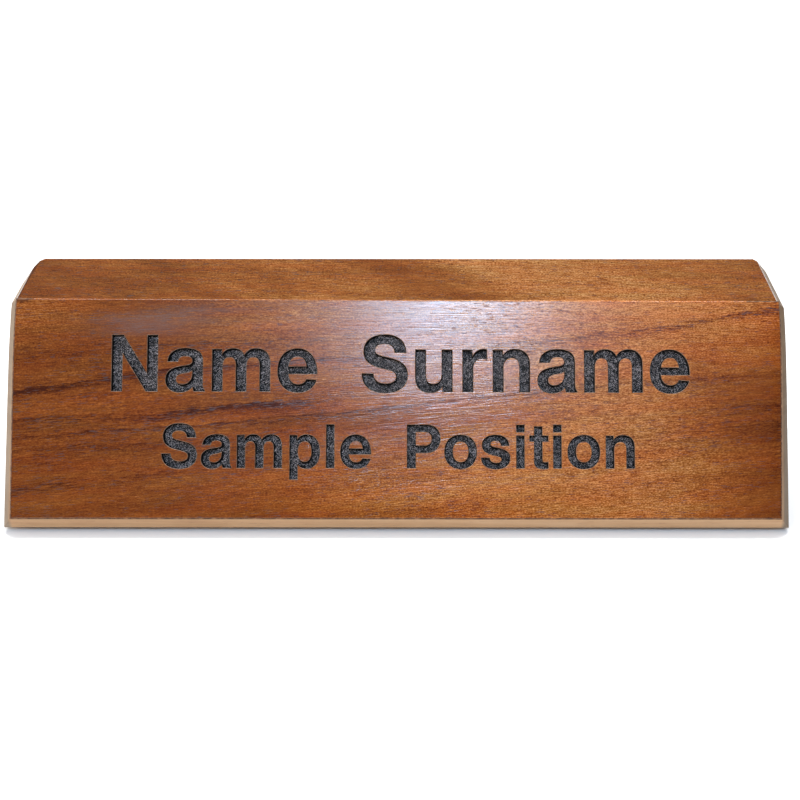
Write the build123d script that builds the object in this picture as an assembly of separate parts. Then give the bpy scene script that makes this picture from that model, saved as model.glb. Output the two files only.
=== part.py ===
"""Desk name block: a veneered hardwood wedge with two engraved, paint-filled lines.

The block is a core glued up from two boards laid flat. Walnut veneer covers the leaning front face, the top
and the upright back. The ends and the foot are bevelled after veneering, so the pale core shows there. Two lines
of lettering are cut through the front veneer into the core and their floors carry black paint. A felt pad is
glued under the block.

Frame: origin at the middle of the footprint, on the desk. +X along the block to the reader's right, +Y to the
back, +Z up. Millimetres.
"""
from build123d import *
import math
import os

os.makedirs("parts", exist_ok=True)

# ---- driving dimensions -------------------------------------------------------------------------------------
LENGTH = 216.0            # overall length, end to end
BLOCK_HEIGHT = 54.0       # underside of the wood to the top face
BASE_DEPTH = 65.0         # front foot (before bevelling) to the back face
TOP_DEPTH = 29.5          # depth of the flat top
BEVEL = 2.9               # bevel depth on the ends and the foot
VENEER = 0.4              # walnut veneer thickness
BOARD = 27.0              # thickness of one core board; the glue line runs between the two lines of lettering
RIDGE_EASE = 0.35         # rounding of the edges at the front and the back of the flat top
FELT = 1.2                # felt pad thickness
FELT_INSET = 5.0          # felt set back from the edges of the underside
FELT_CORNER = 4.0
ENGRAVE_DEPTH = 2.4       # depth of the engraved lines below the face
PAINT = 0.3               # thickness of the paint on the engraved floors

NAME_TEXT = "Name Surname"
NAME_CAP = 15.55          # capital height
NAME_TRACK = 0.0          # extra letter space, in ems
NAME_GAP = 0.51           # word space, in ems
NAME_BASE = 39.2          # baseline above the foot of the face, measured up the face
NAME_SHIFT = 1.0          # sideways offset from the middle
TITLE_TEXT = "Sample Position"
TITLE_CAP = 11.95
TITLE_TRACK = 0.0
TITLE_GAP = 0.5
TITLE_BASE = 18.2
TITLE_SHIFT = 0.4

# ---- section ------------------------------------------------------------------------------------------------
run = BASE_DEPTH - TOP_DEPTH                       # how far the face leans back
lean = math.atan2(run, BLOCK_HEIGHT)               # from upright
slant = math.hypot(run, BLOCK_HEIGHT)
foot_angle = math.pi / 2 - lean                    # inside angle at the foot
foot_b = BEVEL / math.sin(foot_angle)              # bevel's reach along the underside
foot_a = foot_b * math.cos(foot_angle) + BEVEL     # and up the face, at 45 degrees to the face
foremost = foot_a * math.sin(lean)                 # y of the foremost edge, from the unbevelled foot
Y0 = -(foremost + BASE_DEPTH) / 2                  # unbevelled foot, so that the footprint is centred
Z0 = FELT
HALF = LENGTH / 2


def at(y, z):
    """A point of the section, measured from the unbevelled foot."""
    return (Y0 + y, Z0 + z)


section = [
    at(foot_b, 0),
    at(BASE_DEPTH - BEVEL, 0),
    at(BASE_DEPTH, BEVEL),
    at(BASE_DEPTH, BLOCK_HEIGHT),
    at(run, BLOCK_HEIGHT),
    at(foot_a * math.sin(lean), foot_a * math.cos(lean)),
]
side = Plane(origin=(-HALF, 0, 0), x_dir=(0, 1, 0), z_dir=(1, 0, 0))
block = extrude(side * make_face(Polyline(*section, close=True)), amount=LENGTH)

face_up = Vector(0, math.sin(lean), math.cos(lean))
face_out = Vector(0, -math.cos(lean), math.sin(lean))
top_front = Vector(0, *at(run, BLOCK_HEIGHT))


def below(shape, point, normal):
    """The part of shape on the side that normal points away from."""
    cut = split(shape, bisect_by=Plane(origin=point, z_dir=normal), keep=Keep.BOTTOM)
    return cut


def above(shape, point, normal):
    return split(shape, bisect_by=Plane(origin=point, z_dir=normal), keep=Keep.TOP)


for sign in (-1, 1):
    end = Vector(sign * HALF, 0, 0)
    outward = Vector(sign, 0, 0)
    for on_face, normal in (
        (top_front, face_out),
        (top_front, Vector(0, 0, 1)),
        (Vector(0, *at(BASE_DEPTH, BLOCK_HEIGHT)), Vector(0, 1, 0)),
    ):
        corner = Vector(sign * HALF, on_face.Y, on_face.Z) - normal * BEVEL
        block = below(block, corner, (outward + normal).normalized())

top_edges = block.edges().filter_by(Axis.X).group_by(Axis.Z)[-1]
block = fillet(top_edges, RIDGE_EASE)

# ---- split into veneers and core ----------------------------------------------------------------------------
front_line = top_front - face_out * VENEER
front_veneer = above(block, front_line, face_out)
rest = below(block, front_line, face_out)
top_line = top_front - Vector(0, 0, VENEER)
top_veneer = above(rest, top_line, Vector(0, 0, 1))
rest = below(rest, top_line, Vector(0, 0, 1))
back_line = Vector(0, *at(BASE_DEPTH - VENEER, 0))
back_veneer = above(rest, back_line, Vector(0, 1, 0))
core = below(rest, back_line, Vector(0, 1, 0))
seam = Vector(0, 0, Z0 + BOARD)
lower = below(core, seam, Vector(0, 0, 1))
upper = above(core, seam, Vector(0, 0, 1))

# ---- letters ------------------------------------------------------------------------------------------------
# Outlines in thousandths of an em, capital height 718: M start, L line, C cubic curve. The first contour of a
# letter is its outside, or a separate part such as a dot; a contour inside another is a counter.
LETTERS = {
    "S": (652, [[("M", 598, 500), ("C", 594, 646, 500, 734, 324, 734), ("C", 160, 734, 56, 650, 56, 516),
                 ("C", 56, 400, 130, 336, 290, 300), ("C", 424, 270, 472, 252, 472, 192),
                 ("C", 472, 136, 420, 104, 334, 104), ("C", 240, 104, 184, 150, 180, 232), ("L", 34, 232),
                 ("C", 38, 70, 150, -16, 330, -16), ("C", 506, -16, 618, 70, 618, 214),
                 ("C", 618, 340, 540, 400, 376, 436), ("C", 250, 464, 200, 482, 200, 532),
                 ("C", 200, 584, 244, 614, 318, 614), ("C", 400, 614, 448, 578, 454, 500), ("L", 598, 500)]]),
    "N": (723, [[("M", 68, 0), ("L", 68, 718), ("L", 214, 718), ("L", 520, 226), ("L", 520, 718), ("L", 655, 718),
                 ("L", 655, 0), ("L", 509, 0), ("L", 203, 492), ("L", 203, 0), ("L", 68, 0)]]),
    "P": (655, [[("M", 72, 0), ("L", 72, 718), ("L", 386, 718), ("C", 536, 718, 620, 630, 620, 486),
                 ("C", 620, 344, 534, 252, 390, 252), ("L", 212, 252), ("L", 212, 0), ("L", 72, 0)],
                [("M", 212, 372), ("L", 360, 372), ("C", 438, 372, 478, 412, 478, 486),
                 ("C", 478, 560, 438, 598, 360, 598), ("L", 212, 598), ("L", 212, 372)]]),
    "a": (562, [[("M", 536, 0), ("L", 398, 0), ("C", 390, 18, 386, 36, 384, 60), ("C", 340, 10, 284, -14, 216, -14),
                 ("C", 106, -14, 34, 52, 34, 150), ("C", 34, 254, 104, 306, 250, 324),
                 ("C", 344, 336, 376, 350, 376, 386), ("C", 376, 430, 346, 452, 288, 452),
                 ("C", 230, 452, 198, 430, 190, 380), ("L", 58, 380), ("C", 66, 492, 146, 552, 292, 552),
                 ("C", 436, 552, 508, 496, 508, 388), ("L", 508, 116), ("C", 508, 66, 516, 34, 536, 14),
                 ("L", 536, 0)],
                [("M", 376, 268), ("C", 350, 250, 322, 242, 264, 232), ("C", 196, 220, 166, 200, 166, 156),
                 ("C", 166, 112, 196, 88, 244, 88), ("C", 320, 88, 376, 140, 376, 222), ("L", 376, 268)]]),
    "m": (870, [[("M", 66, 0), ("L", 66, 540), ("L", 188, 540), ("L", 188, 474), ("C", 220, 524, 270, 552, 332, 552),
                 ("C", 402, 552, 450, 522, 474, 466), ("C", 510, 522, 562, 552, 626, 552),
                 ("C", 740, 552, 806, 482, 806, 362), ("L", 806, 0), ("L", 674, 0), ("L", 674, 330),
                 ("C", 674, 402, 646, 440, 592, 440), ("C", 534, 440, 502, 396, 502, 322), ("L", 502, 0),
                 ("L", 370, 0), ("L", 370, 330), ("C", 370, 402, 342, 440, 288, 440),
                 ("C", 230, 440, 198, 396, 198, 322), ("L", 198, 0), ("L", 66, 0)]]),
    "p": (600, [[("M", 66, -190), ("L", 66, 540), ("L", 190, 540), ("L", 190, 470), ("C", 226, 524, 276, 552, 342, 552),
                 ("C", 478, 552, 566, 440, 566, 270), ("C", 566, 98, 478, -12, 344, -12),
                 ("C", 282, -12, 232, 14, 198, 64), ("L", 198, -190), ("L", 66, -190)],
                [("M", 314, 442), ("C", 241, 442, 198, 376, 198, 270), ("C", 198, 164, 241, 98, 314, 98),
                 ("C", 387, 98, 430, 164, 430, 270), ("C", 430, 376, 387, 442, 314, 442)]]),
    "l": (272, [[("M", 70, 0), ("L", 70, 718), ("L", 202, 718), ("L", 202, 0), ("L", 70, 0)]]),
    "i": (272, [[("M", 70, 0), ("L", 70, 540), ("L", 202, 540), ("L", 202, 0), ("L", 70, 0)],
                [("M", 70, 598), ("L", 70, 718), ("L", 202, 718), ("L", 202, 598), ("L", 70, 598)]]),
    "e": (562, [[("M", 536, 226), ("C", 542, 420, 440, 552, 288, 552), ("C", 132, 552, 32, 440, 32, 268),
                 ("C", 32, 94, 130, -12, 290, -12), ("C", 412, -12, 498, 46, 528, 148), ("L", 398, 158),
                 ("C", 382, 112, 342, 92, 294, 92), ("C", 222, 92, 174, 140, 168, 226), ("L", 536, 226)],
                [("M", 170, 320), ("L", 402, 320), ("C", 396, 402, 354, 448, 288, 448),
                 ("C", 220, 448, 178, 402, 170, 320)]]),
    "n": (600, [[("M", 66, 0), ("L", 66, 540), ("L", 190, 540), ("L", 190, 468), ("C", 226, 524, 280, 552, 346, 552),
                 ("C", 468, 552, 536, 480, 536, 352), ("L", 536, 0), ("L", 404, 0), ("L", 404, 318),
                 ("C", 404, 398, 372, 440, 310, 440), ("C", 240, 440, 198, 392, 198, 314), ("L", 198, 0),
                 ("L", 66, 0)]]),
    "o": (600, [[("M", 300, 552), ("C", 458, 552, 566, 444, 566, 270), ("C", 566, 96, 458, -12, 300, -12),
                 ("C", 142, -12, 34, 96, 34, 270), ("C", 34, 444, 142, 552, 300, 552)],
                [("M", 300, 442), ("C", 216, 442, 168, 378, 168, 270), ("C", 168, 162, 216, 98, 300, 98),
                 ("C", 384, 98, 432, 162, 432, 270), ("C", 432, 378, 384, 442, 300, 442)]]),
    "r": (386, [[("M", 66, 0), ("L", 66, 540), ("L", 190, 540), ("L", 190, 452), ("C", 222, 520, 272, 552, 338, 552),
                 ("C", 352, 552, 364, 550, 374, 547), ("L", 374, 418), ("C", 358, 424, 340, 427, 318, 427),
                 ("C", 240, 427, 198, 380, 198, 292), ("L", 198, 0), ("L", 66, 0)]]),
    "s": (550, [[("M", 500, 372), ("C", 494, 490, 412, 552, 276, 552), ("C", 140, 552, 54, 486, 54, 380),
                 ("C", 54, 290, 112, 246, 244, 216), ("C", 350, 192, 376, 182, 376, 144),
                 ("C", 376, 108, 344, 86, 284, 86), ("C", 216, 86, 180, 116, 176, 172), ("L", 40, 172),
                 ("C", 44, 54, 130, -14, 282, -14), ("C", 430, -14, 516, 56, 516, 170),
                 ("C", 516, 262, 462, 302, 322, 334), ("C", 218, 358, 192, 368, 192, 402),
                 ("C", 192, 434, 222, 454, 274, 454), ("C", 334, 454, 364, 428, 370, 372),
                 ("L", 500, 372)]]),
    "t": (338, [[("M", 92, 690), ("L", 224, 690), ("L", 224, 540), ("L", 322, 540), ("L", 322, 444), ("L", 224, 444),
                 ("L", 224, 150), ("C", 224, 108, 236, 98, 276, 98), ("C", 292, 98, 308, 99, 322, 101),
                 ("L", 322, -2), ("C", 296, -8, 268, -10, 240, -10), ("C", 136, -10, 92, 24, 92, 118),
                 ("L", 92, 444), ("L", 16, 444), ("L", 16, 540), ("L", 92, 540), ("L", 92, 690)]]),
    "u": (600, [[("M", 534, 540), ("L", 534, 0), ("L", 410, 0), ("L", 410, 72), ("C", 374, 16, 320, -12, 254, -12),
                 ("C", 132, -12, 64, 60, 64, 188), ("L", 64, 540), ("L", 196, 540), ("L", 196, 222),
                 ("C", 196, 142, 228, 100, 290, 100), ("C", 360, 100, 402, 148, 402, 226), ("L", 402, 540),
                 ("L", 534, 540)]]),
}


def place_line(text, cap, track, gap, base, offset):
    """Each letter of a line as (character, x of its origin, em, baseline), and the width of the line."""
    em = cap / 0.718
    pen, spots = 0.0, []
    for ch in text:
        if ch == " ":
            pen += gap * em
            continue
        spots.append((ch, pen))
        pen += (LETTERS[ch][0] / 1000 + track) * em
    first, last = LETTERS[text[0]][1][0], LETTERS[text[-1]][1][0]
    left = spots[0][1] + min(p[-2] for p in first) * em / 1000
    right = spots[-1][1] + max(p[-2] for p in last) * em / 1000
    shift = -(left + right) / 2 + offset
    return [(ch, x + shift, em, base) for ch, x in spots], right - left


def outline(contour, x0, em, base):
    """The contour as a face in the plane of the face, x along the block and y up the face from the foot."""
    k = em / 1000
    edges, here = [], None
    for step in contour:
        pts = [(x0 + step[i] * k, base + step[i + 1] * k) for i in range(1, len(step), 2)]
        if step[0] == "M":
            here = pts[0]
            continue
        edges.append(Line(here, pts[0]) if step[0] == "L" else Bezier(here, *pts))
        here = pts[-1]
    return make_face(Wire([e.edge() for e in edges]))


def letter_faces(spot):
    """One face per separate part of a letter, counters cut out."""
    ch, x0, em, base = spot
    faces = [outline(c, x0, em, base) for c in LETTERS[ch][1]]
    if ch == "i":
        return faces
    shape = faces[0]
    for hole in faces[1:]:
        shape = shape - hole
    return [shape]


face_plane = Plane(origin=Vector(0, *at(0, 0)), x_dir=(1, 0, 0), z_dir=face_out)


def line_solids(spots, near, far):
    """The letters of a line as prisms between two depths below the face."""
    made = []
    for spot in spots:
        for f in letter_faces(spot):
            prism = extrude(f, amount=far - near)              # local, towards +z
            prism = face_plane * Pos(0, 0, -far) * prism
            made.append(prism)
    return made


name_spots, name_width = place_line(NAME_TEXT, NAME_CAP, NAME_TRACK, NAME_GAP, NAME_BASE, NAME_SHIFT)
title_spots, title_width = place_line(TITLE_TEXT, TITLE_CAP, TITLE_TRACK, TITLE_GAP, TITLE_BASE, TITLE_SHIFT)
cutters = line_solids(name_spots + title_spots, -1.0, ENGRAVE_DEPTH)
name_paint = line_solids(name_spots, ENGRAVE_DEPTH - PAINT, ENGRAVE_DEPTH)
title_paint = line_solids(title_spots, ENGRAVE_DEPTH - PAINT, ENGRAVE_DEPTH)


def engrave(shape):
    for cutter in cutters:
        a, b = shape.bounding_box(), cutter.bounding_box()
        if b.min.Z < a.max.Z and b.max.Z > a.min.Z:
            shape = shape - cutter
    return shape


front_veneer = engrave(front_veneer)
lower = engrave(lower)
upper = engrave(upper)

# ---- felt pad -----------------------------------------------------------------------------------------------
pad_front = at(foot_b + FELT_INSET, 0)[0]
pad_back = at(BASE_DEPTH - BEVEL - FELT_INSET, 0)[0]
pad = Pos(0, (pad_front + pad_back) / 2, 0) * extrude(
    RectangleRounded(LENGTH - 2 * FELT_INSET, pad_back - pad_front, FELT_CORNER), amount=FELT
)


def write(name, *shapes):
    solids = [s for shape in shapes for s in shape.solids()]
    export_step(Compound(children=solids) if len(solids) > 1 else solids[0], f"parts/{name}.step")
    print(name, len(solids), "solids", round(sum(s.volume for s in solids), 1), "mm3")


write("core_lower_board", lower)
write("core_upper_board", upper)
write("front_veneer", front_veneer)
write("top_veneer", top_veneer)
write("back_veneer", back_veneer)
write("name_line_paint", *name_paint)
write("title_line_paint", *title_paint)
write("felt_base_pad", pad)
print("lean", round(math.degrees(lean), 3), "slant", round(slant, 3), "Y0", round(Y0, 4), "foot_a", round(foot_a, 4),
      "foot_b", round(foot_b, 4), "name", round(name_width, 2), "title", round(title_width, 2))
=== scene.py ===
"""Looks of the desk name block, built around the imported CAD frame.

Every outer surface is rebuilt in mesh code on the CAD section: the veneers, the two core boards with their
engraved pockets, the paint in the letters and the felt pad. A real block is never quite square, so one smooth
map, warp(), gives the whole block the small twist and the drawn-in ends that sanding leaves. It stays inside the
CAD box.

Lengths below are millimetres in the row frame. They become metres when a mesh is stored.
"""

import math
import random

import bmesh
import bpy
import numpy as np
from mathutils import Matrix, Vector, geometry, noise


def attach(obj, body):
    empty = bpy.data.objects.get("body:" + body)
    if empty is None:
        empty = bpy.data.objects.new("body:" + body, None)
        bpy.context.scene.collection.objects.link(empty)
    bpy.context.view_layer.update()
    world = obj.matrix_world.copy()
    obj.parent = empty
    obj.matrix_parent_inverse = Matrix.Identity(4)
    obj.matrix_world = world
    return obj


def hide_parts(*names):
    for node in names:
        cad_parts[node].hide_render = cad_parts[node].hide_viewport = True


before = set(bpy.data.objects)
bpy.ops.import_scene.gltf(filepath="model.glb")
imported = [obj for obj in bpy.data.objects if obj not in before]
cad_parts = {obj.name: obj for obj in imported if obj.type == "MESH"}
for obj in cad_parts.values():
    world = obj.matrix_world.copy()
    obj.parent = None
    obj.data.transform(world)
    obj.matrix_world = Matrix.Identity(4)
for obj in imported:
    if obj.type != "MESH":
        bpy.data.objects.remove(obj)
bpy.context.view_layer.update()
random.seed(7)

# ---- the CAD dimensions -------------------------------------------------------------------------------------
LENGTH, BLOCK_HEIGHT, BASE_DEPTH, TOP_DEPTH = 216.0, 54.0, 65.0, 29.5
BEVEL, VENEER, BOARD, RIDGE_EASE = 2.9, 0.4, 27.0, 0.35
FELT, FELT_INSET, FELT_CORNER = 1.2, 5.0, 4.0
ENGRAVE_DEPTH, PAINT = 2.4, 0.3
LINES = (
    # piece, words, capital height, word space in ems, baseline up the face, sideways offset
    ("name", "Name Surname", 15.55, 0.51, 39.2, 1.0),
    ("title", "Sample Position", 11.95, 0.5, 18.2, 0.4),
)
EASE = 0.22               # worn radius of the bevels' edges
SHEET_EASE = 0.12         # worn radius of the front sheet's own edge
RIM = 0.13                # broken edge of the engraved letters

HALF = LENGTH / 2
run = BASE_DEPTH - TOP_DEPTH
lean = math.atan2(run, BLOCK_HEIGHT)
slant = math.hypot(run, BLOCK_HEIGHT)
SL, CL = math.sin(lean), math.cos(lean)
foot_b = BEVEL / math.sin(math.pi / 2 - lean)
foot_a = foot_b * math.cos(math.pi / 2 - lean) + BEVEL
Y0 = -(foot_a * SL + BASE_DEPTH) / 2
Z0 = FELT
BACK = Y0 + BASE_DEPTH
TOP = Z0 + BLOCK_HEIGHT
FRONT_LIMIT = Y0 + foot_a * SL


def on_face(x, v, d=0.0):
    """The point at x along the block, v up the face from the foot and d below the face."""
    return (x, Y0 + v * SL + d * CL, Z0 + v * CL - d * SL)


def smooth(a, b, t):
    t = np.clip((t - a) / (b - a), 0, 1)
    return t * t * (3 - 2 * t)


def warp(points):
    """The real block's small errors: the face twists a little, and the ends draw in towards the top."""
    p = np.array(points, float).reshape(-1, 3)
    x, y, z = p[:, 0].copy(), p[:, 1].copy(), p[:, 2].copy()
    up = np.clip((z - Z0) / BLOCK_HEIGHT, 0, 1)
    face_y = Y0 + run * up
    front = np.clip((BACK - y) / (BACK - face_y), 0, 1)
    twist = np.clip((z - Z0 - 5) / (BLOCK_HEIGHT - 5), 0, 1)
    p[:, 1] = y - 0.85 * (x / 105.5) * twist * front
    near_end = smooth(84, HALF, np.abs(x))
    p[:, 0] = x - np.sign(x) * 0.7 * up**7 * near_end
    p[:, 1] = np.clip(p[:, 1], FRONT_LIMIT, BACK)  # the sheet's lower edge is worn back
    return p


def store(name, bm_or_data, materials, smooth_angle=32.0, weighted=True):
    """A finished piece: warped, in metres, with its materials and shading, riding on the block."""
    me = bpy.data.meshes.new(name)
    if isinstance(bm_or_data, bmesh.types.BMesh):
        bm_or_data.to_mesh(me)
        bm_or_data.free()
    else:
        verts, faces, slots = bm_or_data
        me.from_pydata([tuple(v) for v in verts], [], faces)
        me.polygons.foreach_set("material_index", slots)
    co = np.zeros(len(me.vertices) * 3)
    me.vertices.foreach_get("co", co)
    me.vertices.foreach_set("co", (warp(co) * 0.001).ravel())
    me.update()
    for m in materials:
        me.materials.append(m)
    me.shade_smooth()
    me.set_sharp_from_angle(angle=math.radians(smooth_angle))
    me.validate()
    ob = bpy.data.objects.new(name, me)
    bpy.context.scene.collection.objects.link(ob)
    if weighted:
        wn = ob.modifiers.new("even_shading", "WEIGHTED_NORMAL")
        wn.keep_sharp = True
        wn.weight = 90
    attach(ob, "root")
    return ob


# ---- materials ----------------------------------------------------------------------------------------------
class Graph:
    """A material's node tree, with short calls for the few kinds of node used here."""

    def __init__(self, name):
        self.mat = bpy.data.materials.new(name)
        self.mat.use_nodes = True
        self.tree = self.mat.node_tree
        self.tree.nodes.clear()

    def put(self, socket, value):
        if isinstance(value, bpy.types.NodeSocket):
            self.tree.links.new(value, socket)
        elif isinstance(value, (tuple, list)) and socket.type == "RGBA" and len(value) == 3:
            socket.default_value = (*value, 1.0)
        else:
            socket.default_value = value

    def math(self, op, a, b=None, c=None, clamp=False):
        n = self.tree.nodes.new("ShaderNodeMath")
        n.operation, n.use_clamp = op, clamp
        for i, v in enumerate((a, b, c)):
            if v is not None:
                self.put(n.inputs[i], v)
        return n.outputs[0]

    def add(self, *v):
        out = v[0]
        for w in v[1:]:
            out = self.math("ADD", out, w)
        return out

    def mul(self, *v):
        out = v[0]
        for w in v[1:]:
            out = self.math("MULTIPLY", out, w)
        return out

    def sub(self, a, b):
        return self.math("SUBTRACT", a, b)

    def vec(self, x, y, z):
        n = self.tree.nodes.new("ShaderNodeCombineXYZ")
        for i, v in enumerate((x, y, z)):
            self.put(n.inputs[i], v)
        return n.outputs[0]

    def position(self):
        n = self.tree.nodes.new("ShaderNodeTexCoord")
        return n.outputs["Object"]

    def along(self, direction, origin):
        """Distance in mm of the shaded point from origin (mm) along a direction."""
        n = self.tree.nodes.new("ShaderNodeVectorMath")
        n.operation = "DOT_PRODUCT"
        self.put(n.inputs[0], self.position())
        n.inputs[1].default_value = [c * 1000 for c in direction]
        return self.sub(n.outputs["Value"], sum(a * b for a, b in zip(direction, origin)))

    def noise(self, vector, detail=2.0, rough=0.5, distort=0.0, scale=1.0):
        n = self.tree.nodes.new("ShaderNodeTexNoise")
        self.put(n.inputs["Vector"], vector)
        n.inputs["Scale"].default_value = scale
        n.inputs["Detail"].default_value = detail
        n.inputs["Roughness"].default_value = rough
        n.inputs["Distortion"].default_value = distort
        return n.outputs["Fac"]

    def voronoi(self, vector, feature="F1", randomness=1.0, out="Distance"):
        n = self.tree.nodes.new("ShaderNodeTexVoronoi")
        n.feature = feature
        self.put(n.inputs["Vector"], vector)
        n.inputs["Scale"].default_value = 1.0
        n.inputs["Randomness"].default_value = randomness
        return n.outputs[out]

    def span(self, value, a, b, c=0.0, d=1.0, kind="SMOOTHSTEP"):
        n = self.tree.nodes.new("ShaderNodeMapRange")
        n.interpolation_type = kind
        for i, v in enumerate((value, a, b, c, d)):
            self.put(n.inputs[i], v)
        return n.outputs[0]

    def curve(self, value, points, low, high):
        """A function of value drawn through points, for values from low to high."""
        n = self.tree.nodes.new("ShaderNodeFloatCurve")
        lo = min(p[1] for p in points)
        hi = max(p[1] for p in points)
        size = max(hi - lo, 1e-6)
        c = n.mapping.curves[0]
        xs = [((p[0] - low) / (high - low), (p[1] - lo) / size) for p in points]
        while len(c.points) < len(xs):
            c.points.new(0.5, 0.5)
        for q, (a, b) in zip(c.points, xs):
            q.location = (a, b)
        n.mapping.update()
        self.put(n.inputs["Value"], self.span(value, low, high, kind="LINEAR"))
        return self.math("MULTIPLY_ADD", n.outputs[0], size, lo)

    def ramp(self, value, stops, kind="LINEAR"):
        n = self.tree.nodes.new("ShaderNodeValToRGB")
        r = n.color_ramp
        r.interpolation = kind
        while len(r.elements) < len(stops):
            r.elements.new(0.5)
        for e, (at, colour) in zip(r.elements, stops):
            e.position, e.color = at, (*colour, 1.0)
        self.put(n.inputs[0], value)
        return n.outputs[0]

    def mix(self, fac, a, b, blend="MIX"):
        n = self.tree.nodes.new("ShaderNodeMix")
        n.data_type, n.blend_type = "RGBA", blend
        n.clamp_factor = True
        self.put(n.inputs[0], fac)
        self.put(n.inputs[6], a)
        self.put(n.inputs[7], b)
        return n.outputs[2]

    def bump(self, height, distance, strength=1.0):
        """height in mm times distance (mm per unit), as a normal."""
        n = self.tree.nodes.new("ShaderNodeBump")
        n.inputs["Strength"].default_value = strength
        n.inputs["Distance"].default_value = distance * 0.001
        self.put(n.inputs["Height"], height)
        return n.outputs[0]

    def finish(self, colour, rough, normal=None, **more):
        b = self.tree.nodes.new("ShaderNodeBsdfPrincipled")
        self.put(b.inputs["Base Color"], colour)
        self.put(b.inputs["Roughness"], rough)
        if normal is not None:
            self.put(b.inputs["Normal"], normal)
        for k, v in more.items():
            self.put(b.inputs[k.replace("_", " ")], v)
        o = self.tree.nodes.new("ShaderNodeOutputMaterial")
        self.tree.links.new(b.outputs[0], o.inputs[0])
        return self.mat


WALNUT = (
    (0.00, (0.052, 0.0085, 0.0020)),
    (0.15, (0.100, 0.0220, 0.0040)),
    (0.30, (0.170, 0.0420, 0.0070)),
    (0.45, (0.250, 0.0680, 0.0120)),
    (0.60, (0.340, 0.1060, 0.0220)),
    (0.75, (0.440, 0.1620, 0.0430)),
    (0.90, (0.560, 0.2320, 0.0800)),
    (1.00, (0.680, 0.3100, 0.1250)),
)

# Dark growth lines of the front sheet: centre line (x, v), strength along it (x, 0..1), half width, depth of tone.
STREAKS = (
    (((-108, 38.6), (-92, 41.0), (-66, 44.6), (-45, 46.4), (-24, 48.0), (-5, 48.8), (20, 50.2), (108, 58)),
     ((-108, 1.0), (-60, 0.95), (-10, 0.75), (20, 0.25), (60, 0.0), (108, 0.0)), 0.75, 0.27),
    (((-108, 30.6), (-93, 31.4), (-66, 32.4), (-52, 34.6), (-40, 35.7), (-24, 36.0), (0, 37.5), (108, 46)),
     ((-108, 0.35), (-80, 0.5), (-60, 0.9), (-45, 1.0), (-29, 0.9), (-22, 0.3), (-10, 0.0), (108, 0.0)), 1.1, 0.27),
    (((-108, 26.5), (-81, 28.0), (-52, 30.1), (-30, 31.8), (-10, 33.6), (10, 36.3), (31, 38.4), (52, 40.4),
      (76, 42.4), (108, 43.6)),
     ((-108, 0.8), (-90, 0.6), (-60, 0.85), (-20, 0.9), (20, 0.7), (60, 0.5), (90, 0.4), (108, 0.2)), 0.6, 0.22),
    (((-108, 45), (0, 49.8), (28, 52.2), (45, 53.6), (58, 55.5), (72, 56.4), (86, 59.0), (108, 62.6)),
     ((-108, 0.0), (10, 0.0), (35, 0.6), (60, 0.85), (85, 1.0), (108, 0.8)), 0.75, 0.28),
    (((-108, 11.6), (-98, 12.9), (-72, 15.6), (-60, 17.8), (-30, 21.0), (0, 23.0), (108, 30)),
     ((-108, 0.9), (-75, 0.7), (-50, 0.4), (-20, 0.15), (0, 0.0), (108, 0.0)), 0.9, 0.16),
    (((-108, 22.5), (-80, 24.0), (-40, 27.0), (0, 29.5), (108, 35)),
     ((-108, 0.7), (-80, 0.6), (-60, 0.2), (-20, 0.0), (108, 0.0)), 1.8, 0.12),
    (((-108, 47), (-60, 52.2), (-30, 53.2), (0, 54.0), (108, 58)),
     ((-108, 0.2), (-70, 0.5), (-45, 0.6), (-20, 0.2), (0, 0.0), (108, 0.0)), 0.9, 0.16),
    (((-108, 26), (0, 30), (60, 33.2), (85, 34.2), (108, 35.2)),
     ((-108, 0.0), (20, 0.0), (60, 0.35), (108, 0.6)), 0.8, 0.14),
)


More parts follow.
